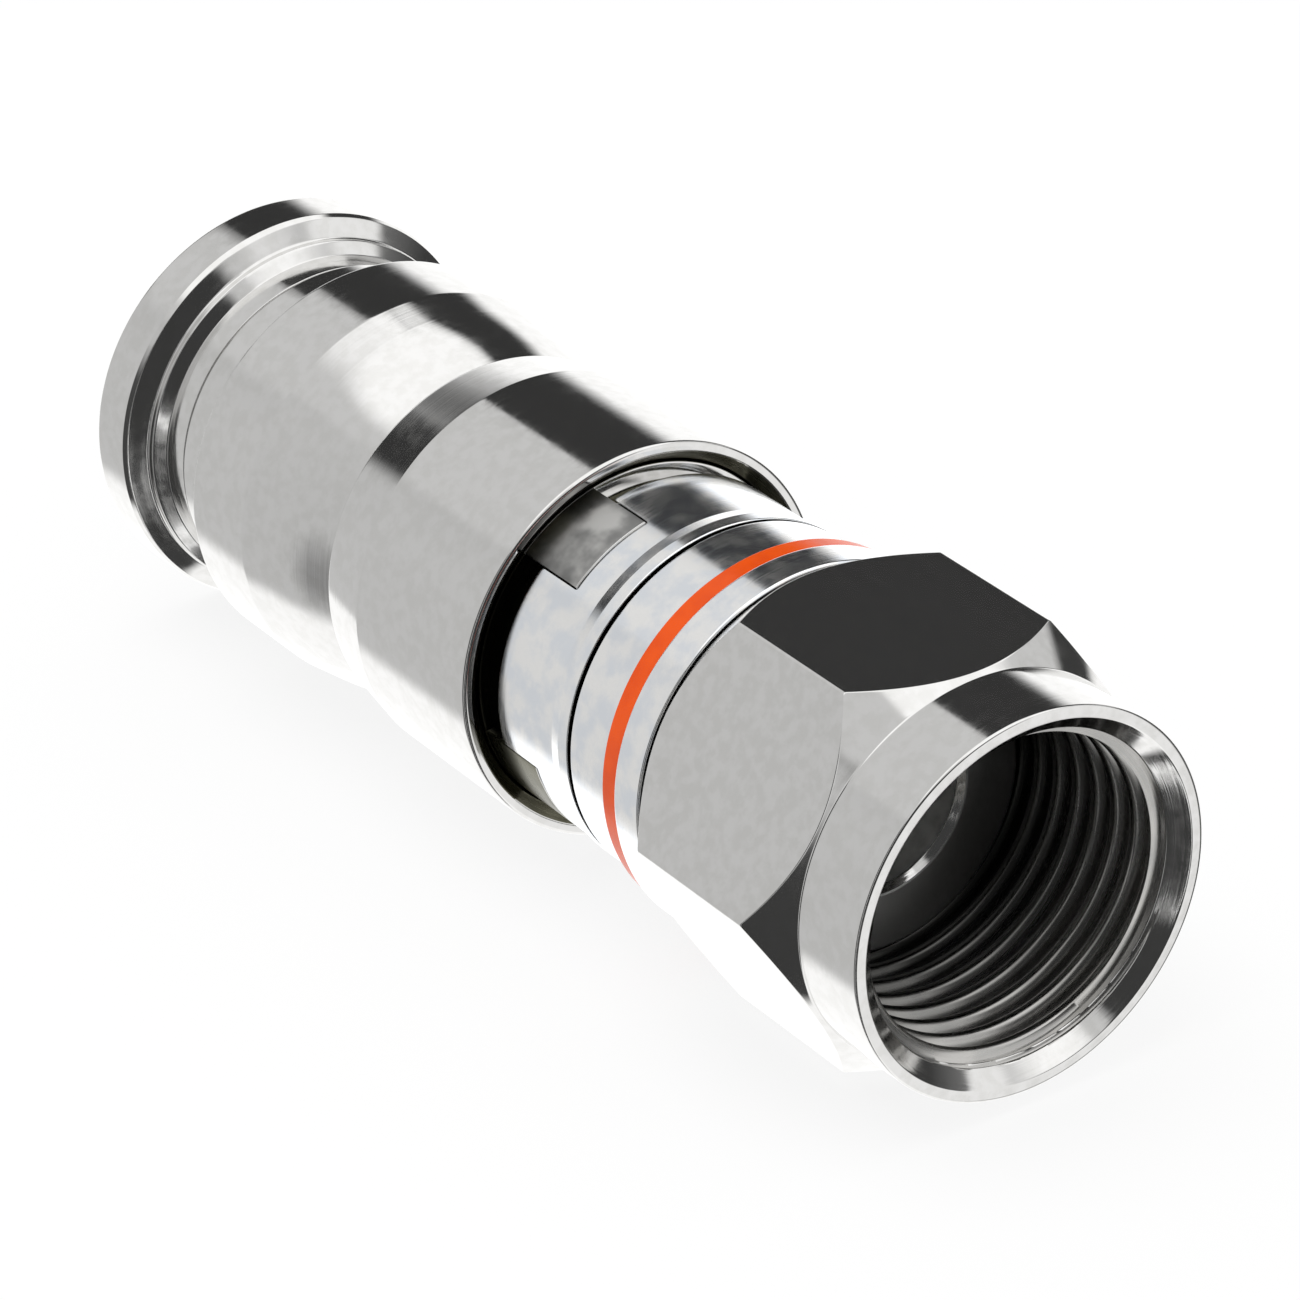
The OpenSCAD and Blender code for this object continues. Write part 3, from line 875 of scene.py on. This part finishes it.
@dataclass
class InnerBarrel(RingPiece):
    """Nickel-plated tube with a collar and, in front of it, lugs that key into the front body's notches.

    The lugs are satin. One gap between them is painted dark as shade, and one lug is olive brass darkened
    with painted shade.
    """

    FINISHES = (TURNED_NICKEL, GAP_PAINTED_SHADE, SATIN_NICKEL, OLIVE_BRASS_AND_SHADE)

    radius: float = 4.60
    bore: float = 3.90
    neck_radius: float = 4.80
    neck_front: float = -10.50
    collar_front: float = -11.24
    collar_rear: float = -12.60
    collar_radius: float = 5.08
    lug_front: float = -8.83
    lug_half: float = 14.75
    end_slant: float = 0.05
    edge: tuple[float, ...] = (0.0, 0.005, 0.012, 0.025, 0.05)
    rise: tuple[float, ...] = (0.0, 0.80, 0.93, 0.99, 1.0)

    def lug_columns(self) -> tuple[Array, Array]:
        """Works out the columns around the axis and how far the lugs have risen at each.

        Returns:
            The angle of each column and the share of the lug's height there.
        """
        top_columns, gap_columns = 10, 16
        inset = np.degrees(np.array(self.edge) / self.collar_radius)[::-1]
        top = np.linspace(0.0, self.lug_half - inset[0], top_columns)[:-1]
        gap = np.linspace(self.lug_half, LUG_PERIOD / 2.0, gap_columns)[1:]
        angle = np.concatenate([top, self.lug_half - inset, gap])
        share = np.concatenate([np.ones_like(top), np.array(self.rise)[::-1], np.zeros_like(gap)])
        return around_lugs(angle, share)

    def lug_marks(self, angle: Array, around: Array) -> Marks:
        """Picks the finishes of the lugs and of the gaps between them.

        Args:
            angle: Angle of each column.
            around: Share of the lug's height at each column.

        Returns:
            Number of the finish from each column to the next.
        """
        half_height = 0.5
        gap = np.minimum(around, np.roll(around, -1)) < half_height
        turned_by = np.degrees(angle) - LUG_TURN
        # painted shade: the gap from the first lug to the next is made near black
        shaded_gap = gap & (turned_by > 0.0) & (turned_by < LUG_PERIOD)
        # the lug a quarter turn on is olive brass darkened with painted shade
        shaded_olive_lug = ~gap & (np.abs(turned_by - LUG_PERIOD) < LUG_PERIOD / 2.0)
        chosen = [self.FINISHES.index(finish) for finish in (GAP_PAINTED_SHADE, OLIVE_BRASS_AND_SHADE, SATIN_NICKEL)]
        return np.select([shaded_gap, shaded_olive_lug, ~gap], chosen)

    def build(self) -> bpy.types.Object:
        """Turns the tube, its neck and its collar, and raises the lugs in front of the collar.

        A lug's height is the lesser of the shares along and around it. Where it is higher than the turned
        wall below it, it is taken. The finishes of lugs and gaps run from the lugs' front to the tube's rear.

        Returns:
            The barrel.
        """
        angle, around = self.lug_columns()
        edge, rise, slant = np.array(self.edge), np.array(self.rise), self.end_slant
        front, rear = self.span.front, self.span.rear
        neck, collar = self.neck_radius - self.radius, self.collar_radius - self.radius
        station = np.concatenate([[front - slant], self.lug_front - edge, self.neck_front - edge,
                                  self.collar_front - edge, self.collar_rear + edge[::-1], [rear + slant]])
        turned = np.concatenate([[0.0], 0.0 * rise, neck * rise, neck + (collar - neck) * rise,
                                 collar * rise[::-1], [0.0]])
        lug = np.concatenate([[0.0], rise, np.ones(3 * len(rise)), [0.0]]) * collar
        raised = np.minimum(lug[:, None], around[None, :] * collar)
        behind = (station < self.collar_front)[:, None]
        lift = np.where(behind, turned[:, None], np.maximum(turned[:, None], raised))
        outside = np.stack([self.radius + lift, np.broadcast_to(station[:, None], lift.shape)], axis=-1)
        inside = turned_corners((self.radius - slant, rear, 0.0), (self.bore + slant, rear, 0.0),
                                (self.bore, rear + slant, 0.0), (self.bore, front - slant, 0.0),
                                (self.bore + slant, front, 0.0), (self.radius - slant, front, 0.0),
                                columns=len(angle))[..., :2]
        section = np.concatenate([outside, inside])
        marks = np.zeros(section.shape[:2], dtype=np.int32)
        marks[len(edge):len(station) - 1] = self.lug_marks(angle, around)
        return self.ring(section, angle, marks)


@dataclass
class CompressionSleeve(TurnedPiece):
    """Turned nickel-plated sleeve with a shoulder, a cone up to a crest, a waist and a stepped rear flange.

    The front bore and the chamfer there are olive brass, darkened with painted shade.
    """

    FINISHES = (TURNED_NICKEL, OLIVE_BRASS_AND_SHADE)
    # the front bore and its chamfer are olive brass darkened with painted shade
    STRETCHES = ((1, face_row(24, 3), face_row(26, 0)),)  # the front bore and its chamfer

    columns: int = 240
    front_length: float = 5.33
    shoulder_length: float = 1.94
    cone_length: float = 3.87
    crest_length: float = 2.64
    land_length: float = 1.80
    seam_width: float = 0.12
    waist_length: float = 0.88
    ridge_length: float = 0.27
    ledge_length: float = 0.20
    rise_length: float = 0.36
    edge_length: float = 0.16
    rim_radius: float = 5.76
    rim_round: float = 0.16
    shoulder_radius: float = 5.46
    cone_radius: float = 5.16
    middle_radius: float = 5.60
    crest_radius: float = 5.87
    land_radius: float = 5.10
    waist_radius: float = 5.02
    ledge_radius: float = 5.36
    rise_radius: float = 5.86
    seam_depth: float = 0.14
    front_bore: float = 5.14
    rear_bore: float = 4.66
    front_bore_end: float = -16.40
    bore_cone: float = 0.50
    rim_chamfer: float = 0.36
    cable_hole: float = 4.00
    cable_lead: float = 0.30
    end_wall: float = 2.92

    def section(self) -> Array:
        """Works out the section from the rim over the outside to the rear flange and back through the bore.

        Returns:
            Radius and station of each point, of shape (rows, 1, 2).
        """
        rim, rear, flange = self.span
        shoulder = rim - self.front_length
        cone = shoulder - self.shoulder_length
        crest = cone - self.cone_length
        land = crest - self.crest_length
        seam = land - self.land_length
        waist = seam - self.seam_width
        ridge = waist - self.waist_length
        ledge = ridge - self.ridge_length
        rise = ledge - self.ledge_length
        edge = rise - self.rise_length
        wall = rear + self.end_wall
        return rounded(turned_corners(
            (self.front_bore + self.rim_chamfer, rim, 0.06),
            (self.rim_radius, rim, self.rim_round),
            (self.rim_radius, shoulder, 0.10),
            (self.shoulder_radius, cone, 0.08),
            (self.cone_radius, cone, 0.10),
            (self.middle_radius, (cone + crest) / 2.0, 40.0),
            (self.crest_radius, crest, 0.60),
            (self.crest_radius, land, 0.08),
            (self.land_radius, land, 0.10),
            (self.land_radius, seam, 0.06),
            (self.land_radius - self.seam_depth, seam, 0.02),
            (self.land_radius - self.seam_depth, waist, 0.02),
            (self.waist_radius, waist, 0.04),
            (self.waist_radius, ridge, 0.03),
            (self.ledge_radius, ledge, 0.06),
            (self.ledge_radius, rise, 0.08),
            (self.rise_radius, edge, 0.04),
            (flange, edge - self.edge_length, 0.06),
            (flange, rear, 0.08),
            (self.cable_hole + self.cable_lead, rear, 0.05),
            (self.cable_hole, rear + self.cable_lead, 0.05),
            (self.cable_hole, wall, 0.05),
            (self.rear_bore, wall, 0.05),
            (self.rear_bore, self.front_bore_end - self.bore_cone, 0.10),
            (self.front_bore, self.front_bore_end, 0.10),
            (self.front_bore, rim - self.rim_chamfer, 0.05)))


@dataclass
class GripRing(TurnedPiece):
    """Plastic ring in the sleeve that is squeezed onto the cable's jacket."""

    FINISHES = (NATURAL_PLASTIC,)

    bore: float = 3.80
    ramp: float = 0.40
    ramp_length: float = 1.00

    def section(self) -> Array:
        """Works out the section, with a ramp at the front of its bore."""
        front, rear, reach = self.span
        return rounded(turned_corners(
            (self.bore + self.ramp, front, 0.08),
            (reach, front, 0.08),
            (reach, rear, 0.08),
            (self.bore, rear, 0.08),
            (self.bore, front - self.ramp_length, 0.30)))


@dataclass
class Studio:
    """White table, soft light from all round with darker walls, and the camera.

    The camera's place and target are in millimetres, those of the table and the lamp and their sizes in
    metres. Headings run from +X towards +Y. Headings, elevations and the camera's roll are in degrees.

    Attributes:
        walls: Headings along the walls at eye level, each with its brightness.
        feet: Headings and elevations of the line where the walls give way to the white table.
        tops: Headings and elevations of the line where the walls give way to the ceiling.
        glows: Headings and elevations of the line where the ceiling starts to get brighter.
        lean: Change of heading of the walls' tones with each degree of elevation.
        soft_foot: Half the height over which the walls fade into the table.
        soft_top: Half the height over which the walls fade into the ceiling.
        glow_height: Height over which the ceiling gets brighter.
        ceiling: Brightness of the ceiling where it starts and overhead.
        table_white: Brightness of the table in the metal.
        table_lift: Share of plain white in the table as the camera sees it.
        matte_light: Brightness of the light all round for matte surfaces.
    """

    floor_height: float
    camera_place: Place = (105.749, -79.218, 77.496)
    camera_target: Place = (-1.870, -5.969, 5.708)
    camera_roll: float = -0.97
    lens: float = 165.57
    walls: Curve = (
        (0, 0.06), (14, 0.06), (24, 1.10), (57, 1.10), (60.5, 0.20), (80, 0.06), (112, 0.045),
        (188, 0.045), (193, 0.66), (215, 0.70), (246, 0.66), (254, 0.08), (280, 0.06), (284, 0.80),
        (292, 0.80), (296, 0.06), (345, 0.05), (360, 0.06))
    feet: Curve = (
        (0, -45), (60, -42), (94, -38), (102, 15), (150, 15), (160, 19.5), (178, 22.5), (187, 17),
        (195, -30), (203, -35), (220, -43), (240, -46), (256, -55), (298, -72), (312.6, -85),
        (314.2, 10), (315.8, 10), (317, -85), (345, -75), (360, -45))
    tops: Curve = (
        (0, 36), (66, 36), (72, 30), (80, 16), (96, 16), (101, 41), (146, 41), (153, 47), (161.5, 47),
        (165.5, 37), (175, 34.5), (186, 31), (192, 26), (212, 26), (225, 38), (240, 42), (340, 42),
        (360, 36))
    glows: Curve = (
        (0, 40), (15, 36), (120, 36), (150, 36), (166, 45), (180, 47.5), (215, 47), (280, 50), (310, 70),
        (345, 70), (360, 40))
    lean: float = 0.5
    soft_foot: float = 5.0
    soft_top: float = 2.5
    glow_height: float = 10.0
    ceiling: tuple[float, float] = (0.76, 1.35)
    table_white: float = 1.30
    table_half: float = 1.5
    table_lift: float = 0.85
    matte_light: float = 0.75
    lamp_place: Place = (-0.05, -0.15, 0.55)
    lamp_size: float = 0.5
    lamp_power: float = 1.6

    def build_floor(self) -> None:
        """Makes the table, which shows white to the camera but still takes a soft shadow.

        The metal doesn't mirror it, as the room's lower half stands for it there.
        """
        half, height, matte_grey = self.table_half, self.floor_height, (0.92, 0.92, 0.92, 1.0)
        mesh = bpy.data.meshes.new("table")
        corners = [(-half, -half, height), (half, -half, height), (half, half, height), (-half, half, height)]
        mesh.from_pydata(corners, [], [(0, 1, 2, 3)])
        table = add_object("table", mesh)
        table.visible_glossy = False
        table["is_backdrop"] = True
        made, pad = new_material("white_table")
        path = pad.add("LightPath").outputs
        seen = pad.math("MAXIMUM", path["Is Camera Ray"], path["Is Transmission Ray"])
        matte = pad.add("BsdfDiffuse", Color=matte_grey)
        white = pad.add("Emission", Color=WHITE, Strength=1.0)
        lift = pad.math("MULTIPLY", seen, self.table_lift)
        surface = pad.add("MixShader", i0=lift, i1=matte.outputs[0], i2=white.outputs[0])
        pad.add("OutputMaterial", Surface=surface.outputs[0])
        mesh.materials.append(made)

    def build_world(self) -> None:
        """Makes the light all round: white for the camera, even for matte surfaces, a room for the metal.

        The room's walls have the tones of their headings. They stand on a white table and end under a bright
        ceiling, along lines whose elevations also change with the heading.
        """
        world = bpy.data.worlds.new("studio_room")
        bpy.context.scene.world = world
        world.use_nodes = True
        world.cycles.sampling_method = "NONE"
        pad = NodePad(world.node_tree)
        towards = pad.add("SeparateXYZ", Vector=pad.add("TexCoord").outputs["Generated"]).outputs
        height = pad.math("DEGREES", pad.math("ARCSINE", towards["Z"]))
        turn = pad.math("DIVIDE", pad.math("ARCTAN2", towards["Y"], towards["X"]), FULL_TURN)
        heading = pad.math("FRACT", pad.math("ADD", turn, 1.0))
        above_foot, above_top, above_glow = (
            pad.math("SUBTRACT", height, self.line(pad, heading, points))
            for points in (self.feet, self.tops, self.glows))
        leaning = pad.math("SUBTRACT", heading, pad.math("MULTIPLY", height, self.lean / FULL_CIRCLE))
        tone = pad.ramp(pad.math("FRACT", pad.math("ADD", leaning, 1.0)),
                        tuple((angle / FULL_CIRCLE, level) for angle, level in self.walls))
        walls = pad.blend(pad.remap(above_foot, -self.soft_foot, self.soft_foot, 0.0, 1.0),
                          self.table_white, tone)
        ceiling = pad.remap(above_glow, 0.0, self.glow_height, *self.ceiling)
        room = pad.blend(pad.remap(above_top, -self.soft_top, self.soft_top, 0.0, 1.0), walls, ceiling)
        path = pad.add("LightPath").outputs
        mirrored = pad.math("MAXIMUM", path["Is Glossy Ray"], path["Is Transmission Ray"])
        seen = pad.blend(path["Is Camera Ray"], pad.blend(mirrored, self.matte_light, room), 1.0)
        light = pad.add("Background", Color=WHITE, Strength=seen)
        pad.add("OutputWorld", Surface=light.outputs[0])

    @staticmethod
    def line(pad: NodePad, heading: Socket, points: Curve) -> Socket:
        """Looks up the elevation of a line around the room.

        Args:
            pad: The node tree to add to.
            heading: The heading as a share of a full turn.
            points: Heading and elevation of points along the line, in order.

        Returns:
            The elevation in degrees.
        """
        right, straight = FULL_CIRCLE / 4.0, FULL_CIRCLE / 2.0
        stops = tuple((angle / FULL_CIRCLE, (height + right) / straight) for angle, height in points)
        return pad.math("SUBTRACT", pad.math("MULTIPLY", pad.ramp(heading, stops), straight), right)

    def build_lamp(self) -> None:
        """Hangs one broad soft lamp above, which gives matte pieces and the table a direction of light."""
        lamp = bpy.data.lights.new("broad_lamp", "AREA")
        lamp.shape = "DISK"
        lamp.size = self.lamp_size
        lamp.energy = self.lamp_power
        hung = add_object("broad_lamp", lamp)
        hung.location = self.lamp_place
        hung.rotation_euler = (-hung.location).to_track_quat("-Z", "Y").to_euler()
        hung.visible_glossy = False

    def build_camera(self) -> None:
        """Sets up the camera at the place fitted to the photograph."""
        data = bpy.data.cameras.new("camera")
        sensor_width, nearest, farthest = 36.0, 0.005, 20.0
        data.sensor_width = sensor_width
        data.lens = self.lens
        data.clip_start, data.clip_end = nearest, farthest
        camera = add_object("camera", data)
        place = Vector(self.camera_place) * MM
        aim = (Vector(self.camera_target) * MM - place).to_track_quat("-Z", "Y")
        roll = Matrix.Rotation(math.radians(self.camera_roll), 4, "Z")
        camera.matrix_world = Matrix.Translation(place) @ aim.to_matrix().to_4x4() @ roll
        bpy.context.scene.camera = camera

    def build(self) -> None:
        """Makes the whole studio."""
        bpy.context.scene.view_settings.view_transform = "Standard"
        self.build_floor()
        self.build_world()
        self.build_lamp()
        self.build_camera()


def main() -> None:
    """Loads the frame, finishes every piece and sets up the studio."""
    logging.basicConfig(level=logging.INFO, format="%(name)s: %(message)s")
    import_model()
    packed_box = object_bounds()
    plan = (
        (CouplingNut, "coupling_nut", Rider.NUT, Slot.NICKEL),
        (Post, "post", Rider.BODY, Slot.TIN),
        (NutSeal, "nut_seal", Rider.BODY, Slot.RUBBER),
        (FrontBody, "front_body", Rider.BODY, Slot.ZINC),
        (ColourBand, "colour_band", Rider.BODY, Slot.BAND),
        (InnerBarrel, "inner_barrel", Rider.BODY, Slot.NICKEL),
        (CompressionSleeve, "compression_sleeve", Rider.SLEEVE, Slot.NICKEL),
        (GripRing, "grip_ring", Rider.SLEEVE, Slot.PLASTIC),
    )
    for kind, node, rider, slot in plan:
        maker = kind(f"{node}_finished", span_of(node))
        piece = maker.build()
        maker.dress(piece)
        place_piece(piece, node, rider)
    Studio(floor_height=packed_box[0].z).build()


if __name__ == "__main__":
    main()
